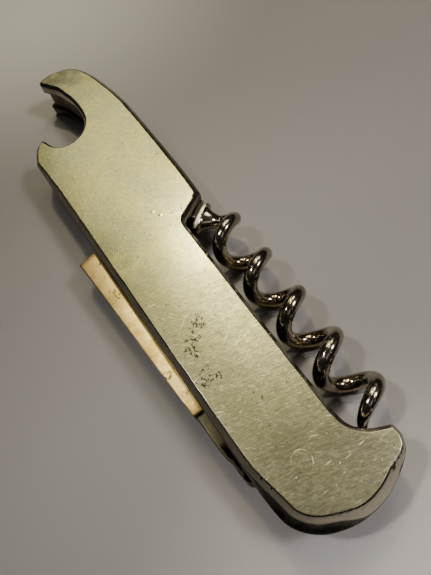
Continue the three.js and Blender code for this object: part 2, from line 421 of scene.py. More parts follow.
SATIN_STEEL = ((0.60, 0.590, 0.310), (0.73, 0.665, 0.270))
# The heel's darker steel: worn and scratched, and darkened further as painted shade
HEEL_WEAR_AND_SHADE = (0.42, 0.40, 0.28)
# Painted shade on the back half of the face, where it reflects less light
SHADED_BACK_STEEL = (0.25, 0.24, 0.14)
# Painted shade, in blotches, at the claw tip
CLAW_TIP_SHADE = (0.25, 0.24, 0.15)
BRUSHED_STEEL = (0.22, 0.205, 0.12)
CROSSED_STEEL = (0.72, 0.68, 0.40)
FINE_GRAIN = (0.28, 0.265, 0.15)
MOTTLED_STEEL = (0.30, 0.29, 0.16)
DARK_SCRATCH = (0.10, 0.090, 0.050)
# Pale scratches: real scratches with a painted glint
PALE_SCRATCH_GLINT = (0.96, 0.91, 0.62)
RUST_PIT = (0.030, 0.022, 0.014)
# Painted shade on the bevels and walls, and a painted reflection lightening the heel's bevel
SHADED_BEVEL_STEEL = ((0.21, 0.190, 0.145), (0.27, 0.245, 0.185))
HEEL_BEVEL_REFLECTION = (0.44, 0.40, 0.32)
# Painted shade: the dark browns of the walls between the plates' bevels
PAINTED_WALL_SHADE = ((0.010, 0.008, 0.006), (0.045, 0.037, 0.026))

# The pale scratches and the glints are painted highlights on real scratches.
# Layers of scratches: angle, length, width and the share of cells that hold one. The long ones also say
# how much of its cell a scratch fills.
PALE_LAYERS = ((77, 1.3, 0.19, 0.28), (62, 1.5, 0.20, 0.24), (96, 1.3, 0.20, 0.22), (46, 1.8, 0.22, 0.12))
GLINT_LAYERS = ((66, 3.0, 0.30, 0.07), (92, 2.6, 0.30, 0.07))
DARK_LAYERS = ((74, 1.2, 0.19, 0.32), (112, 1.4, 0.22, 0.18), (150, 1.3, 0.22, 0.12))
LONG_LAYERS = ((124, 8.0, 0.8, 0.04, 0.2), (76, 5.0, 0.6, 0.08, 0.25))

# Rust clusters, small knocks and the claw tip's painted shade: each a place on the plan, a radius and a fade
RUST_PATCHES = ((21, -3.6, 0.8, 1.2), (22.8, -5.8, 0.9, 1.4), (24.7, -7.4, 0.9, 1.4), (29.8, -7.0, 1.3, 1.5),
                (15.4, -5.8, 0.2, 0.7))
DENTS = ((-2.9, 1.7, 0.15, 0.45), (-1.3, 2.5, 0.10, 0.35))
CLAW_TIP = (-54, 5, 1, 10)

# How far the scratched zone's edge wanders along x
WANDER = 30


def painted_shade_mask(n, x, y, z):
    """1 on the walls between the plates' bevels, which are darkened there as painted shade; it ends lower at
    the heel's end and the claw.
    """
    heel_end = n.times(n.zone(y, -5, 0), n.zone(x, 49, 53))
    shown = n.most(heel_end, n.zone(x, -28, -34))
    raised = n.plus(z, n.times(shown, 0.8 * MM))
    return n.times(n.zone(z, 0.95, 1.3), n.zone(raised, 8.25, 7.9))


def pit_mask(n, flat):
    """1 in the rust pits of the clusters, and in a few grains elsewhere."""
    clustered = n.plus(n.times(n.spots(RUST_PATCHES), 0.20), n.noise(1.5, detail=4, rough=0.65))
    speckle = n.step(n.noise(0.42, detail=3, rough=0.6), 0.48, 0.56)
    grains = n.step(n.noise(0.55, detail=2, rough=0.5), 0.70, 0.74)
    pits = n.most(n.times(n.step(clustered, 0.66, 0.72), speckle), n.times(grains, 0.8))
    return n.times(pits, flat)


def worn_steel():
    """Nickelled steel: satin at the claw, cross-scratched towards the heel, with clusters of rust pits.
    Painted shade darkens its walls, bevels, back, claw tip and, with wear, its heel; painted glints light its
    pale scratches and the heel's bevel.
    """
    n = Nodes("worn_steel")
    x, y, z = (n.part(n.place, axis) for axis in "XYZ")
    flat = n.step(n.math("ABSOLUTE", n.part(n.normal, "Z")), 0.90, 0.995)
    # Where the walls get painted shade
    inner = painted_shade_mask(n, x, y, z)
    ragged = n.ragged(x, n.noise(9), WANDER)
    worn = n.zone(ragged, -4, 22)
    heel = n.zone(ragged, 18, 50)
    # Where the back half of the face gets painted shade
    back = n.times(n.zone(y, 3, -7), n.zone(x, 2, 14), n.zone(x, 48, 36))
    # Where the claw tip gets painted shade
    tip_shade = n.times(n.near(*CLAW_TIP), n.step(n.noise(3, detail=4), 0.30, 0.60))
    cloud = n.noise(8, detail=5)
    brushed = n.brushed(78, 1.6, 0.24, detail=5)
    crossed = n.brushed(38, 2.2, 0.26)

    # Pale scratches and glints, painted as highlights
    pale = n.times(n.most(n.times(n.scratches(PALE_LAYERS), 0.55), n.scratches(GLINT_LAYERS)), worn)
    pale = n.most(pale, n.times(n.scratches(LONG_LAYERS), 0.55))
    dark = n.times(n.scratches(DARK_LAYERS), worn)
    pits = pit_mask(n, flat)

    steel = n.graded(cloud, 0.35, 0.65, SATIN_STEEL)
    steel = n.tinted(steel, HEEL_WEAR_AND_SHADE, heel, 0.85)
    steel = n.tinted(steel, SHADED_BACK_STEEL, back, 0.72)
    steel = n.tinted(steel, CLAW_TIP_SHADE, tip_shade, 0.9)
    steel = n.tinted(steel, BRUSHED_STEEL, n.step(brushed, 0.58, 0.42), worn, 0.75)
    steel = n.tinted(steel, CROSSED_STEEL, n.step(crossed, 0.53, 0.66), worn, 0.45)
    steel = n.tinted(steel, FINE_GRAIN, n.step(n.noise(0.28, detail=3), 0.56, 0.40), 0.45)
    steel = n.tinted(steel, MOTTLED_STEEL, n.step(n.noise(0.8), 0.60, 0.40), 0.25)
    steel = n.tinted(steel, DARK_SCRATCH, dark, 0.75)
    steel = n.tinted(steel, PALE_SCRATCH_GLINT, pale, 0.80)
    steel = n.tinted(steel, RUST_PIT, pits, 0.93)
    # The bevels darkened as painted shade, the heel's lightened as a painted reflection
    bevel = n.graded(n.noise(3.0, detail=3), 0.40, 0.62, SHADED_BEVEL_STEEL)
    bevel = n.tinted(bevel, HEEL_BEVEL_REFLECTION, n.zone(x, 42, 51))
    steel = n.blend(flat, bevel, steel)
    # The walls between the bevels darkened as painted shade
    steel = n.blend(inner, steel, n.graded(n.noise(1.6, detail=5), 0.35, 0.65, PAINTED_WALL_SHADE))

    face_rough = n.plus(0.25, n.times(worn, 0.10))
    face_rough = n.plus(face_rough, n.times(n.minus(cloud, 0.5), 0.12))
    face_rough = n.plus(face_rough, n.times(pits, 0.35))
    bevel_rough = n.plus(0.15, n.times(n.noise(0.8), 0.12))
    rough = n.plus(n.times(face_rough, flat), n.times(bevel_rough, n.minus(1.0, flat)))
    rough = n.plus(rough, n.times(inner, 0.25))

    relief = n.minus(n.times(brushed, worn, 0.5), dark)
    relief = n.minus(relief, n.times(pale, 0.7))
    relief = n.minus(relief, n.times(pits, 1.5))
    relief = n.plus(relief, n.times(n.spots(DENTS), flat, 2.0))
    wavy = n.bump(n.noise(7, detail=1), 0.5, 0.12)
    n.shade(Base_Color=steel, Metallic=1.0, Roughness=rough, Normal=n.bump(relief, 0.30, 0.04, wavy),
            Coat_Weight=0.6, Coat_Roughness=0.24)
    return n.material


# The lever's steel

LEVER_FILM = ((0.78, 0.57, 0.20), (0.96, 0.80, 0.36))
LEVER_BRUSHING = (0.46, 0.31, 0.10)
# Painted shade towards the lever's free end
FREE_END_SHADE = (0.30, 0.21, 0.09)
LEVER_STAIN = (0.42, 0.24, 0.07)
LEVER_SCRATCH = (0.97, 0.86, 0.48)
# Painted shade on the neck, darker further from the channel
SHADED_NECK_STEEL = ((0.13, 0.12, 0.07), (0.08, 0.07, 0.04))
NECK_STAIN = (0.04, 0.033, 0.018)
LEVER_SPECK = (0.04, 0.03, 0.02)
# Painted shade in the neck's notches and below its face
NOTCH_SHADE = (0.018, 0.014, 0.010)
LEVER_LAYERS = ((8, 4, 0.4, 0.2), (84, 2.4, 0.3, 0.25), (60, 2.4, 0.3, 0.15))
LEVER_RUST = ((24.6, -12.4, 0.5, 0.6), (26.6, -11.9, 0.1, 0.5), (28.8, -11.0, 0.1, 0.6))


def lever_steel():
    """Polished steel with a yellowed film, brown stains and a few rust specks, darker towards the free end as
    painted shade; the neck is dark olive painted shade, darkest in its notches.
    """
    n = Nodes("lever_steel")
    x = n.part(n.place, "X")
    z = n.part(n.place, "Z")
    stain = n.noise(3.2, detail=5)
    film = n.noise(6)
    brushed = n.brushed(84, 2.2, 0.3)
    marks = n.scratches(LEVER_LAYERS)
    specks = n.times(n.step(n.noise(1.9, detail=2), 0.60, 0.66), n.step(n.noise(0.4), 0.50, 0.60))
    rusted = n.times(n.spots(LEVER_RUST), n.step(n.noise(0.55, detail=3), 0.48, 0.55))
    specks = n.most(specks, rusted)

    steel = n.graded(film, 0.38, 0.62, LEVER_FILM)
    steel = n.tinted(steel, LEVER_BRUSHING, n.step(brushed, 0.60, 0.42), 0.30)
    # Painted shade towards the free end
    steel = n.tinted(steel, FREE_END_SHADE, n.zone(n.ragged(x, film, WANDER), 26, 4), 0.85)
    steel = n.tinted(steel, LEVER_STAIN, n.step(stain, 0.52, 0.66), 0.50)
    steel = n.tinted(steel, LEVER_SCRATCH, marks, 0.4)
    neck = n.zone(x, FOOT_END - 0.4, FOOT_END + 0.1)
    # The neck darkened as painted shade
    neck_shade = n.blend(n.zone(x, FOOT_END + 1, FOOT_END + 6), *SHADED_NECK_STEEL)
    neck_shade = n.tinted(neck_shade, NECK_STAIN, n.step(stain, 0.45, 0.65), 0.5)
    steel = n.blend(neck, steel, neck_shade)
    steel = n.tinted(steel, LEVER_SPECK, specks, 0.9)
    # Painted shade in the notches, below the neck's face
    steel = n.tinted(steel, NOTCH_SHADE, neck, n.zone(z, NECK_TOP - 0.12, NECK_TOP - 0.5))

    rough = n.plus(0.26, n.times(stain, 0.18))
    relief = n.minus(n.minus(n.times(brushed, 1.2), marks), specks)
    wavy = n.bump(n.noise(5, detail=1), 0.5, 0.08)
    n.shade(Base_Color=steel, Metallic=1.0, Roughness=rough, Normal=n.bump(relief, 0.25, 0.03, wavy))
    return n.material


# The worm's nickel

WORM_NICKEL = ((0.24, 0.21, 0.155), (0.42, 0.385, 0.31))
WORM_BROWN = (0.27, 0.18, 0.085)
WORM_WEAR = (0.56, 0.47, 0.30)
WORM_GRIME = (0.045, 0.036, 0.026)
# Bare metal with a painted highlight, on the root's rim
BARE_RIM_HIGHLIGHT = (0.90, 0.84, 0.66)


def rim_mask(n, z):
    """1 on the upper half of the root's flange, up to an uneven edge, where bare metal and a painted
    highlight show.
    """
    from_back = n.minus(n.along(ROOT_FACING), ROOT_FACING.dot(ROOT_BACK) * MM)
    uneven = n.ragged(from_back, n.noise(0.7, detail=5), 1.6)
    return n.times(n.zone(uneven, 0.95, 0.8), n.zone(z, 5.4, 5.8), n.zone(from_back, -0.3, -0.1))


def dark_worm():
    """Tarnished nickel wire, browner towards its underside, with bare metal and a painted highlight along the
    root's rim.
    """
    n = Nodes("dark_worm")
    z = n.part(n.place, "Z")
    cloud = n.noise(3.0, detail=5)
    wear = n.step(n.noise(1.3), 0.50, 0.68)
    grime = n.step(n.noise(0.75, rough=0.65), 0.59, 0.68)
    rim = rim_mask(n, z)
    metal = n.graded(cloud, 0.35, 0.65, WORM_NICKEL)
    metal = n.tinted(metal, WORM_BROWN, n.zone(z, 5.2, 2.2), 0.6)
    metal = n.tinted(metal, WORM_WEAR, wear, 0.35)
    metal = n.tinted(metal, WORM_GRIME, grime, 0.7)
    # Bare metal and a painted highlight along the root's rim
    metal = n.tinted(metal, BARE_RIM_HIGHLIGHT, rim)
    rough = n.plus(0.11, n.times(grime, 0.25))
    rough = n.plus(rough, n.times(cloud, 0.08))
    rough = n.plus(rough, n.times(rim, 0.28))
    relief = n.minus(n.noise(1.1, detail=3), n.times(grime, 0.5))
    n.shade(Base_Color=metal, Metallic=1.0, Roughness=rough, Normal=n.bump(relief, 0.22, 0.06))
    return n.material


# The steel between the plates, and where it shows in the claw's mouth, darkened as painted shade
INNER_SHADE_BROWN = ((0.020, 0.016, 0.011), (0.085, 0.072, 0.052))
MOUTH_SHADE_BROWN = ((0.09, 0.076, 0.054), (0.24, 0.21, 0.16))


def inner_steel(name, browns):
    """Dull brown steel, darkened as painted shade."""
    n = Nodes(name)
    cloud = n.noise(3.0, detail=5)
    rough = n.plus(0.45, n.times(cloud, 0.3))
    n.shade(Base_Color=n.graded(cloud, 0.3, 0.7, browns), Metallic=1.0, Roughness=rough,
            Normal=n.bump(n.noise(0.9), 0.3, 0.05))
    return n.material


# The table's two greys, and pools of painted light on it: a place on the plan, a radius and a fade, then the
# colour there
TABLE_GREYS = ((0.250, 0.240, 0.237), (0.267, 0.256, 0.253))
TABLE_LIGHT_POOLS = (((76, -4, 2, 46), (0.56, 0.535, 0.535)), ((-112, 8, 6, 80), (0.60, 0.585, 0.575)))


def table_top():
    """A pale matt table top with a faint sheen and painted pools of light."""
    n = Nodes("floor")
    tone = n.graded(n.noise(120, detail=2), 0.3, 0.7, TABLE_GREYS)
    for light_pool, colour in TABLE_LIGHT_POOLS:
        tone = n.tinted(tone, colour, n.near(*light_pool))
    grain = n.bump(n.noise(0.7, detail=2), 0.04, 0.02)
    n.shade(Base_Color=tone, Roughness=0.50, Specular_IOR_Level=0.4, Normal=grain)
    return n.material


WORN_STEEL = worn_steel()
LEVER_STEEL = lever_steel()
DARK_WORM = dark_worm()
INNER_STEEL = inner_steel("inner_steel", INNER_SHADE_BROWN)
MOUTH_STEEL = inner_steel("mouth_steel", MOUTH_SHADE_BROWN)


def coloured(item, material):
    item.data.materials.clear()
    item.data.materials.append(material)


def placed(item, material, body, node):
    """Finishes a piece: its material, its body and the CAD node it stands for."""
    coloured(item, material)
    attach(item, body)
    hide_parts(node)


# Plates

# The bevel's cross-section: its width, the widths of its upper and lower roundings, and its slopes
Bevel = namedtuple("Bevel", "width top low slope wall")
BACK_BEVEL = Bevel(1.25, 0.32, 0.14, 1.28, 3.2)
EDGE_BEVEL = Bevel(0.70, 0.34, 0.12, 1.35, 3.2)
CLAW_BEVEL = Bevel(0.80, 0.50, 0.14, 0.95, 3.4)
FLANK_BEVEL = Bevel(1.35, 0.50, 0.22, 0.82, 3.6)
HEEL_FOOT_BEVEL = Bevel(2.30, 0.36, 1.19, 1.28, 0.55)
HEEL_END_BEVEL = Bevel(1.80, 0.55, 0.25, 1.36, 2.5)

# Where each bevel takes over: it starts at the first x or y and is whole at the second
CLAW_X = (-27, -36)
BACK_X, BACK_Y = (-36, -18), (7.5, -1.0)
FLANK_X, FLANK_END_X, FLANK_Y = (-58, -44), (5.0, 1.0), (9.0, 11.0)
BAY_X, BAY_Y = (51.5, 50.0), (2.5, 4.0)
HEEL_X, HEEL_Y, FOOT_Y = (41, 50), (9.6, 5.0), (1.0, -5.5)

# Wear makes the bevel's width uneven: a slow wander, which is calmer on the heel, and a quick one
SLOW_WEAR, SLOW_WEAR_RATE, HEEL_CALM = 0.07, 0.35, 0.7
QUICK_WEAR, QUICK_WEAR_RATE, QUICK_WEAR_LAYER = 0.02, 1.1, 5.0

OUTLINE_SPACING = 0.30


def body_outline():
    """The side plates' outer edge, counter-clockwise, from the corner above the notch."""
    flank_and_tip = catmull(plan(
        (-1.3, 11.4), (-6.3, 11.85), (-16.6, 12.35), (-32.8, 12.8), (-38.7, 12.6), (-44.5, 12.0),
        (-50.2, 10.75), (-55.1, 7.8), (-56.7, 3.3), (-56.5, 0.7), (-55.8, -0.5)), 10)
    mouth = catmull(plan(
        (-54.9, -0.55), (-52.4, 0.75), (-49.7, 2.0), (-42.7, 3.1), (-36.2, 2.6), (-32.5, 0.0), (-31.5, -3.4),
        (-33.1, -6.1), (-37.0, -7.4)), 10)
    jaw = catmull(plan((-37.0, -7.4), (-35.2, -9.8), (-31.2, -11.6)), 8)
    heel = catmull(plan(
        (46.9, -10.4), (51.5, -9.65), (54.65, -6.8), (56.25, -2.3), (56.2, 2.3), (54.9, 6.1), (53.0, 8.8),
        (51.3, 9.7)), 10)
    hook_tip = plan((49.7, 9.6))
    bay = catmull(plan((49.2, 8.3), (48.2, 6.4), (46.4, 4.9), (43.8, 4.4)), 8)
    notch = plan((4.2, 5.2), (2.6, 5.3), (1.7, 6.0))
    loop = flank_and_tip + mouth + jaw + heel + hook_tip + bay + notch
    return softened(resampled([p + SHIFT for p in loop], OUTLINE_SPACING), 2)


BODY_LOOP = body_outline()


def mixed(a, b, share):
    return Bevel(*(p + (q - p) * share for p, q in zip(a, b)))


def bevel_at(point):
    """The bevel at a point of the outline: broad on the back, the flank and the heel, narrow elsewhere."""
    x, y = point.x, point.y
    bevel = mixed(EDGE_BEVEL, CLAW_BEVEL, smoothstep(x, *CLAW_X))
    bevel = mixed(bevel, BACK_BEVEL, smoothstep(x, *BACK_X) * smoothstep(y, *BACK_Y))
    on_flank = smoothstep(y, *FLANK_Y) * smoothstep(x, *FLANK_END_X)
    bevel = mixed(bevel, FLANK_BEVEL, on_flank * smoothstep(x, *FLANK_X))
    in_bay = smoothstep(y, *BAY_Y) * smoothstep(x, *BAY_X)
    on_heel = smoothstep(x, *HEEL_X) * smoothstep(y, *HEEL_Y) * (1 - in_bay)
    bevel = mixed(bevel, mixed(HEEL_END_BEVEL, HEEL_FOOT_BEVEL, smoothstep(y, *FOOT_Y)), on_heel)
    slow = noise.noise(Vector((x * SLOW_WEAR_RATE, y * SLOW_WEAR_RATE, 0.0)))
    quick = noise.noise(Vector((x * QUICK_WEAR_RATE, y * QUICK_WEAR_RATE, QUICK_WEAR_LAYER)))
    wear = SLOW_WEAR * (1 - HEEL_CALM * on_heel) * slow + QUICK_WEAR * quick
    return bevel._replace(width=bevel.width + wear)


def bevel_drop(distance, bevel):
    """How far the face has dropped at this distance from the outline."""
    u = bevel.width - distance
    if u <= 0:
        return 0.0
    if u < bevel.top:
        return bevel.slope * u * u / (2 * bevel.top)
    straight = bevel.slope * (u - bevel.top / 2)
    k = u - (bevel.width - bevel.low)
    return straight if k <= 0 else straight + (bevel.wall - bevel.slope) * k * k / (2 * bevel.low)


def nearest(points, loop):
    """For each point, its distance to the closed loop and the loop's nearest point."""
    start = np.array([(p.x, p.y) for p in loop])
    edge = np.roll(start, -1, axis=0) - start
    length = (edge ** 2).sum(axis=1)
    result = []
    for p in points:
        gap = np.array((p.x, p.y)) - start
        t = np.clip((gap * edge).sum(axis=1) / length, 0, 1)
        away = ((gap - edge * t[:, None]) ** 2).sum(axis=1)
        i = int(away.argmin())
        result.append((math.sqrt(away[i]), loop[i]))
    return result


# The face's rings: at these shares of the lower rounding and of the upper, and this far inside the bevel
LOW_SHARES = (0.2, 0.45, 0.7, 1.0)
TOP_SHARES = (1.0, 0.8, 0.62, 0.46, 0.32, 0.2, 0.1, 0.0)
INSIDE_BEVEL = (0.12, 0.6)
# A ring's point is kept where the outline is nowhere nearer than this share of the ring's depth
KEPT_FROM = 0.97


def ring_depths():
    """For each of the face's rings, a function from a bevel to the ring's distance from the outline."""
    depths = [lambda b, f=f: f * b.low for f in LOW_SHARES]
    depths += [lambda b: 0.5 * (b.width - b.top + b.low)]
    depths += [lambda b, f=f: b.width - f * b.top for f in TOP_SHARES]
    depths += [lambda b, d=d: b.width + d for d in INSIDE_BEVEL]
    return depths


def bevelled_face(loop):
    """The plate's outer face: a fine mesh inside the loop that drops towards it along the bevel."""
    slack = 1e-4
    points = list(loop)
    drops = [bevel_drop(0.0, bevel_at(p)) for p in loop]
    for depth in ring_depths():
        ring = inset(loop, lambda p: depth(bevel_at(p)))
        for i, (point, (away, at)) in enumerate(zip(ring, nearest(ring, loop))):
            if away > KEPT_FROM * depth(bevel_at(loop[i])) - slack:
                points.append(point)
                drops.append(bevel_drop(away, bevel_at(at)))
    flat = [Vector((p.x, p.y)) for p in points]
    count = len(loop)
    edges = [(i, (i + 1) % count) for i in range(count)]
    found, _, faces, source, _, _ = geometry.delaunay_2d_cdt(flat, edges, [tuple(range(count))], 1, 1e-5)
    heights = [drops[origin[0]] if origin else 0.0 for origin in source]
    return [Vector((p.x, p.y, -h)) for p, h in zip(found, heights)], [tuple(f) for f in faces]


FACE_POINTS, FACE_TRIANGLES = bevelled_face(BODY_LOOP)

# The wall's inner edge is rounded: how far each ring is inset, and how much of the thickness is left there
INNER_EDGE = ((0.0, 0.14), (0.03, 0.05), (0.12, 0.0))
LEAST_WALL = 0.02


def plate_mesh(name, upper):
    """The bevelled outer face, the wall under it and the flat inner face."""
    def height(depth):
        return BODY_THICKNESS - depth if upper else depth

    vertices = [Vector((p.x, p.y, height(-p.z))) for p in FACE_POINTS]
    faces = list(FACE_TRIANGLES)
    count = len(BODY_LOOP)
    drops = [bevel_drop(0.0, bevel_at(p)) for p in BODY_LOOP]
    rings = [[Vector((p.x, p.y, height(drop))) for p, drop in zip(BODY_LOOP, drops)]]
    for gap, left in INNER_EDGE:
        ring = inset(BODY_LOOP, lambda p: gap)
        depths = [max(PLATE_THICKNESS - left, drop + LEAST_WALL) for drop in drops]
        rings.append([Vector((p.x, p.y, height(min(d, PLATE_THICKNESS)))) for p, d in zip(ring, depths)])
    base = len(vertices)
    for ring in rings:
        vertices.extend(ring)
    faces += bands(base, len(rings), count)
    last = base + (len(rings) - 1) * count
    faces.append(tuple(range(last, last + count)))
    return mesh_object(name, vertices, faces)


placed(plate_mesh("upper_side_plate", True), WORN_STEEL, "body", "upper_plate")
placed(plate_mesh("lower_side_plate", False), WORN_STEEL, "body", "lower_plate")


# Worm

WIRE_RADIUS = 1.31
WIRE_SIDES = 36
WIRE_RINGS = 440
WIRE_WEAR, WIRE_WEAR_RATE = 0.012, 0.9
COIL_RADIUS = 3.08
COIL_PITCH = 10
COIL_TIGHTENING = 0.317
COIL_LENGTH = 45
COIL_PHASE = 1.212
COIL_SLOPE = -0.0246
COIL_START = Vector((7.3, 10.8, 0)) + SHIFT
COIL_FROM = -1.6
COIL_END = 43.6

# The point: where it starts, how far it leans in, how much thinner the wire gets and how far past its end
# that thinning would be whole
POINT_START = 36.5
POINT_LEAN = 0.12
POINT_TAPER = 0.93
POINT_BLUNT = 0.6

# The root's flange: each ring's distance from its back, half width, half thickness and squareness
FLANGE = ((0.0, 3.2, 1.62, 0.72), (0.05, 3.42, 1.8, 0.72), (0.16, 3.5, 1.88, 0.72), (0.72, 3.5, 1.9, 0.72),
          (0.9, 3.42, 1.86, 0.74), (1.0, 3.3, 1.8, 0.76))

# The lead-in runs from the flange to the coil: distances from the root's back, and steps to the side
LEAD_IN = ((1.0, (0, 0, 0)), (2.3, (0, 0.15, -0.1)), (3.9, (-0.1, 0.75, -0.75)))
LEAD_STEPS = 14
LEAD_OVERLAP = 0.7

# Its flare: how fast it is gone, how it curves, and how much wider, thicker and squarer it starts
FLARE_RATE = 1.35
FLARE_CURVE = 2.2
FLARE_WIDTH = 1.95
FLARE_THICKNESS = 0.48
FLARE_SQUARENESS = 0.24


def coil_centre(s):
    """The wire's centre line, s millimetres along the coil's axis."""
    turns = s / COIL_PITCH + COIL_TIGHTENING * (s / COIL_LENGTH) ** 2
    phase = 2 * math.pi * turns + COIL_PHASE
    radius = COIL_RADIUS * (1 - POINT_LEAN * smoothstep(s, POINT_START, COIL_END))
    return Vector((
        COIL_START.x + s - COIL_SLOPE * radius * math.cos(phase),
        COIL_START.y + COIL_SLOPE * s + radius * math.cos(phase),
        MID + radius * math.sin(phase)))


def squared_section(centre, across, upright, wide, thick, power):
    """A ring between an ellipse, at a power of 1, and a rectangle, at 0."""
    return [
        centre + across * (math.copysign(abs(c) ** power, c) * wide)
        + upright * (math.copysign(abs(s) ** power, s) * thick)
        for c, s in around(WIRE_SIDES)]


def worm_wire():
    """One surface from the flared root, along the lead-in and the coil, to the point."""
    rings = [
        squared_section(ROOT_BACK + ROOT_FACING * depth, ROOT_ACROSS, UP, wide, thick, power)
        for depth, wide, thick, power in FLANGE]
    knots = [ROOT_BACK + ROOT_FACING * depth + Vector(aside) for depth, aside in LEAD_IN]
    path = catmull(knots + [coil_centre(COIL_FROM), coil_centre(COIL_FROM + LEAD_OVERLAP)], LEAD_STEPS)
    lead = path[1:-LEAD_STEPS]
    for k, centre in enumerate(lead):
        tangent = (path[k + 2] - path[k]).normalized()
        across = UP.cross(tangent).normalized()
        t = (k + 1) / len(lead)
        flare = max(0.0, 1 - t * FLARE_RATE) ** FLARE_CURVE
        rings.append(squared_section(
            centre, across, tangent.cross(across), WIRE_RADIUS + FLARE_WIDTH * flare,
            WIRE_RADIUS + FLARE_THICKNESS * flare, 1 - FLARE_SQUARENESS * flare))
    side = across
    reach = 0.02
    for k in range(1, WIRE_RINGS + 1):
        s = COIL_FROM + (COIL_END - COIL_FROM) * k / WIRE_RINGS
        centre = coil_centre(s)
        tangent = (coil_centre(s + reach) - coil_centre(s - reach)).normalized()
        side = (side - tangent * side.dot(tangent)).normalized()
        other = tangent.cross(side)
        radius = WIRE_RADIUS * (1 - POINT_TAPER * smoothstep(s, POINT_START, COIL_END + POINT_BLUNT))
        radius *= 1 + WIRE_WEAR * noise.noise(centre * WIRE_WEAR_RATE)
        rings.append([centre + radius * (c * side + s * other) for c, s in around(WIRE_SIDES)])
    return lofted("wire", rings)


TANG_RADIUS = 3.3


def tang():
    """The flat eye that turns on the worm's pin, between the plates."""
    loop = arc(DRAWN_WORM_PIVOT, TANG_RADIUS, 78, 250, 24)
    loop += plan((1.0, 7.1), (1.3, 7.8), (-1.2, 11.4), (-1.9, 11.2))
    loop = resampled([p + SHIFT for p in loop], 0.4)
    return slab("tang", loop, INNER_LOW, INNER_HIGH, radius=0.25)


placed(joined("worm_screw", worm_wire(), tang()), DARK_WORM, "worm", "worm")


# Lever

LEVER_SHEET = 1.1
FLANGE_TILT = 0.12
FLANGE_EDGE_RADIUS = 0.18
FOLD_RADIUS = 0.32
INNER_FOLD_RADIUS = 0.3

# The channel's long edges: where they start at the free end, and how far they rise over this length
FREE_END = -5.0
OUTER_EDGE, OUTER_RISE = -15.1, 2.65
INNER_EDGE_START, INNER_RISE = -7.2, 2.6
RISE_LENGTH = 36.8

# The free end is cut askew, about this y, and the skew is gone after this length
FREE_END_SKEW = 0.31
FREE_END_MIDDLE = -11.55
SKEW_LENGTH = 6.0

# The channel's rounded ends: each ring's distance from the end and how much smaller it is.
# The foot's are this many times larger, and a short land parts them from the even rings.
CHANNEL_END = ((0.0, 0.22), (0.03, 0.13), (0.10, 0.04), (0.22, 0.0))
FOOT_ROUNDING = 1.5
FOOT_LAND = 0.05
CHANNEL_RINGS = 30


def lever_outer(x):
    return OUTER_EDGE + (x - FREE_END) * OUTER_RISE / RISE_LENGTH


def lever_inner(x):
    return INNER_EDGE_START + (x - FREE_END) * INNER_RISE / RISE_LENGTH


def channel_section(x, gap):
    """A C-shaped section open towards the body, with a rounded fold."""
    outer, inner = lever_outer(x) + gap, lever_inner(x) - gap
    top, bottom = INNER_HIGH - gap, INNER_LOW + gap
    sheet = LEVER_SHEET - 2 * gap
    fold, edge, hollow = FOLD_RADIUS, FLANGE_EDGE_RADIUS, INNER_FOLD_RADIUS
    points = []

    def corner(y, z, radius, start, end, steps=3):
        for k in range(steps + 1):
            a = math.radians(start + (end - start) * k / steps)
            points.append((y + radius * math.cos(a), z + radius * math.sin(a)))

    corner(inner - edge, top - edge, edge, 0, 90)
    corner(outer + fold, top - fold, fold, 90, 180, 6)
    corner(outer + fold, bottom + fold, fold, 180, 270, 6)
    corner(inner - edge, bottom + edge, edge, 270, 360)
    corner(inner - edge, bottom + sheet - edge, edge, 0, 90)
    corner(outer + sheet + hollow, bottom + sheet + hollow, hollow, 270, 180)
    corner(outer + sheet + hollow, top - sheet - hollow, hollow, 180, 90)
    corner(inner - edge, top - sheet + edge, edge, 270, 360)
    skew = FREE_END_SKEW * max(0.0, 1 - (x - FREE_END) / SKEW_LENGTH)
    section = []
    for y, z in points:
        tilt = math.copysign(FLANGE_TILT * (y - lever_outer(x)), z - MID)
        section.append(Vector((x + skew * (FREE_END_MIDDLE - y), y, z - tilt)) + SHIFT)
    return section


def channel():
    free_depth = CHANNEL_END[-1][0]
    foot_depth = FOOT_ROUNDING * free_depth + FOOT_LAND
    length = FOOT_END - FREE_END - free_depth - foot_depth
    stations = [(FREE_END + depth, gap) for depth, gap in CHANNEL_END]
    for k in range(1, CHANNEL_RINGS + 1):
        stations.append((FREE_END + free_depth + length * k / CHANNEL_RINGS, 0.0))
    stations += [
        (FOOT_END - FOOT_ROUNDING * depth, FOOT_ROUNDING * gap) for depth, gap in reversed(CHANNEL_END[:-1])]
    return lofted("channel", [channel_section(x, gap) for x, gap in stations])


# Rounded notches in the neck beside the plates: place and radius
NECK_NOTCHES = ((39.75, -10.5, 0.85), (41.35, -10.35, 0.70), (43.65, -10.25, 0.84))
NOTCH_DEPTH = 1.5
NOTCH_SIDES = 28
KNUCKLE_RADIUS = 4.2
KNUCKLE_SIDES = 72


def neck():
    loop = plan((29.0, -12.4), (32.1, -12.2), (36.8, -12.0))
    loop += catmull(plan(
        (36.8, -12.0), (38.6, -11.9), (40.0, -11.7), (41.2, -11.4), (43.1, -11.28), (44.5, -11.15),
        (45.1, -10.75), (45.5, -9.6), (45.9, -7.9)), 6)
    loop += arc(DRAWN_LEVER_PIVOT, KNUCKLE_RADIUS, -90, 220, 37)
    loop += plan((29.0, -5.0))
    loop = softened(resampled([p + SHIFT for p in loop], 0.3), 2)
    return slab("neck", loop, INNER_LOW + NECK_DROP, NECK_TOP, radius=0.25)


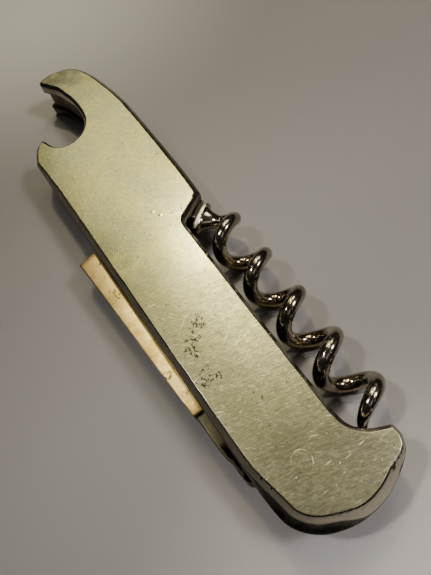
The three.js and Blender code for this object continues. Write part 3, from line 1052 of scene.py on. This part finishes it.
def cut_notches(item):
    for x, y, radius in NECK_NOTCHES:
        ring = circle(Vector((x, y, 0)) + SHIFT, radius, NOTCH_SIDES)
        tool = lofted("notch", [at_height(ring, NECK_TOP - NOTCH_DEPTH), at_height(ring, BODY_THICKNESS)])
        cut = item.modifiers.new("notch", "BOOLEAN")
        cut.operation = "DIFFERENCE"
        cut.solver = "EXACT"
        cut.object = tool
        evaluated = item.evaluated_get(bpy.context.evaluated_depsgraph_get())
        mesh = bpy.data.meshes.new_from_object(evaluated)
        item.modifiers.clear()
        item.data = mesh
        bpy.data.objects.remove(tool)
    return item


def knuckle():
    ring = circle(LEVER_PIVOT, KNUCKLE_RADIUS, KNUCKLE_SIDES)
    return slab("knuckle", ring, INNER_LOW, INNER_HIGH, radius=0.2)


lever = joined("lever_channel", channel(), cut_notches(neck()), knuckle())
placed(lever, LEVER_STEEL, "lever", "lever")


# Pins and rivets: their heads are polished flush, and only the lever's pin shows a faint ring

PIN_SIDES = 64
FLUSH_GAP = 0.05
RING_STANDS, RING_ROUNDING = 0.03, 0.16


def pin(node, gap=FLUSH_GAP, rounding=FLUSH_GAP):
    """A shank with rounded ends, each this far inside the plate's face."""
    low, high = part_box(node)
    centre = (low + high) / 2 / MM
    radius = (high.x - low.x) / 2 / MM
    loop = circle(Vector((centre.x, centre.y, 0)), radius, PIN_SIDES)
    shank = slab(node + "_shank", loop, gap, BODY_THICKNESS - gap, radius=rounding)
    placed(shank, WORN_STEEL, "body", node)


pin("lever_pin", -RING_STANDS, RING_ROUNDING)
for shank in ("worm_pin", "claw_rivet_front", "claw_rivet_rear", "spine_rivet_front", "spine_rivet_rear",
              "heel_rivet"):
    pin(shank)

# Parts between the plates and the claw's spacer take dark browns as painted shade
for inner in ("spine_bar", "heel_sleeve", "worm_spring", "lever_spring"):
    coloured(frame["nodes"][inner], INNER_STEEL)
coloured(frame["nodes"]["claw_spacer"], MOUTH_STEEL)


# Floor, lights and camera, in metres

FLOOR_SIZE = 2.4
OBJECT_MIDDLE = Vector((0.012, 0.0, 0.005))
BESIDE_HEEL = Vector((0.060, 0.010, 0.0))
ROOM_COLOUR = (1.0, 0.95, 0.88, 1)
ROOM_STRENGTH = 0.025
CAMERA_PLACE = Vector((50.495, -8.52, 71.86)) * MM
CAMERA_TURN = (27.46, 8.70, 55.83)
CAMERA_LENS = 27.05


def linked(name, data):
    item = bpy.data.objects.new(name, data)
    bpy.context.scene.collection.objects.link(item)
    return item


def floor():
    bpy.ops.mesh.primitive_plane_add(size=FLOOR_SIZE, location=(0, 0, 0))
    item = bpy.context.object
    item.name = "floor"
    item.data.materials.append(table_top())


def lamp(name, azimuth, elevation, size, power, colour, distance=0.6, aim=OBJECT_MIDDLE, spread=180):
    """A round area light with a spread in degrees, seen at these angles from the place it is aimed at."""
    data = bpy.data.lights.new(name, "AREA")
    data.shape = "DISK"
    data.size = size
    data.energy = power
    data.color = colour
    data.spread = math.radians(spread)
    item = linked(name, data)
    a, e = math.radians(azimuth), math.radians(elevation)
    level = math.cos(e)
    item.location = aim + distance * Vector((level * math.cos(a), level * math.sin(a), math.sin(e)))
    item.rotation_euler = (aim - item.location).to_track_quat("-Z", "Y").to_euler()


def world():
    item = bpy.data.worlds.new("room")
    bpy.context.scene.world = item
    item.use_nodes = True
    background = item.node_tree.nodes["Background"]
    background.inputs["Color"].default_value = ROOM_COLOUR
    background.inputs["Strength"].default_value = ROOM_STRENGTH


def camera():
    data = bpy.data.cameras.new("camera")
    data.sensor_width = 36
    data.lens = CAMERA_LENS
    data.clip_start = 0.001
    item = linked("camera", data)
    item.location = CAMERA_PLACE
    item.rotation_euler = [math.radians(a) for a in CAMERA_TURN]
    bpy.context.scene.camera = item


floor()
world()
# Azimuth and elevation in degrees, then size in metres, power in watts and colour
lamp("hot_lamp", 156, 56, 0.030, 0.44, (1.0, 0.92, 0.60), distance=0.4)
lamp("white_lamp", 128, 50, 0.10, 0.22, (1.0, 0.94, 0.76), distance=0.4)
lamp("high_lamp", 146, 69, 0.08, 0.16, (1.0, 0.92, 0.64), distance=0.5)
lamp("wide_lamp", 167, 41, 0.26, 0.25, (1.0, 0.94, 0.70))
lamp("left_lamp", -134, 58, 0.04, 0.016, (1.0, 0.95, 0.90), distance=0.4, aim=BESIDE_HEEL, spread=30)
lamp("right_lamp", 0, 58, 0.20, 0.06, (1.0, 0.95, 0.92))
lamp("near_lamp", 56, 50, 0.060, 0.36, (1.0, 0.95, 0.92), distance=0.29)
camera()
